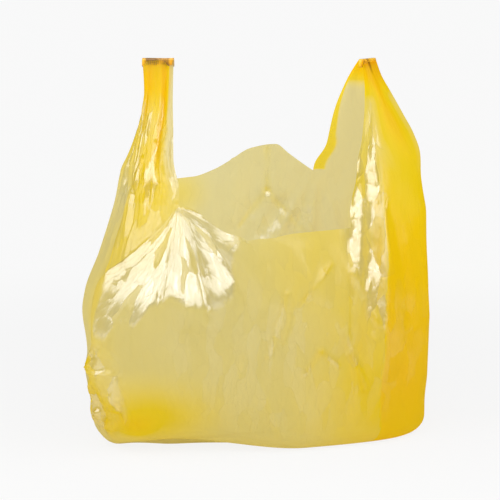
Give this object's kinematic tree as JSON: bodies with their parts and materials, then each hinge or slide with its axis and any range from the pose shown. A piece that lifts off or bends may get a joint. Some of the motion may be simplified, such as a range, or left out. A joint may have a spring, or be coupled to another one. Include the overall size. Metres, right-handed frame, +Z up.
{
  "type": "plastic carrier bag",
  "caption": "Open vest-style carrier bag of thin translucent film, with gathered handles, creased sides and a flat welded base.",
  "frame": {"origin": "centre of the bag's bounding box, on the floor it stands on", "axes": "+X to the right across the front, +Y from the front to the back, +Z up through the mouth"},
  "size_m": [0.339, 0.1878, 0.382],
  "materials": {
    "yellow_film": "thin translucent yellow blown film, semi-gloss, crumpled"
  },
  "bodies": {
    "root": {"bag_film": "yellow_film"}
  },
  "joints": []
}
